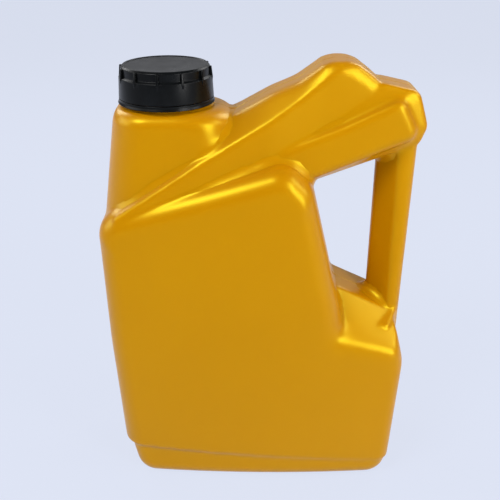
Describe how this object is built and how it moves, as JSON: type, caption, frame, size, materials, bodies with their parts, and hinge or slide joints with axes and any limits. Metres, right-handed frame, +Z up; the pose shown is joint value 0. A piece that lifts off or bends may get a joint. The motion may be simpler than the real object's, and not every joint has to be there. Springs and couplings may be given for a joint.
{
  "type": "motor oil bottle",
  "caption": "Flat yellow jerry bottle for oil with a hollow handle beside a tall panel, a sloping ridged bar to its neck and a ribbed black screw cap.",
  "frame": {"origin": "centre of the bottle's length and depth, on the surface that it stands on", "axes": "+X towards the handle, +Y to the back, +Z up along the neck; the mould parts on the plane Y = 0"},
  "size_m": [0.2152, 0.098, 0.3043],
  "materials": {
    "yellow_shell": "satin blow-moulded polyethylene, yellow",
    "black_closure": "satin moulded polypropylene, black",
    "white_liner": "foamed polyethylene disc, off-white"
  },
  "bodies": {
    "bottle": {"bottle": "yellow_shell", "tamper_ring": "black_closure"},
    "liner": {"sealing_liner": "white_liner"},
    "cap": {"screw_cap": "black_closure"}
  },
  "joints": [
    {"name": "cap_rise", "type": "slide", "parent": "bottle", "child": "liner", "axis": [0, 0, 1], "range_m": [0, 0.018]},
    {"name": "cap_turn", "type": "hinge", "parent": "liner", "child": "cap", "pos_m": [-0.06182, 0, 0.29], "axis": [0, 0, 1], "range_deg": [0, 1080]}
  ],
  "couplings": [
    {"joint": "cap_rise", "follows": "cap_turn", "m_per_rad": 0.00095493}
  ]
}
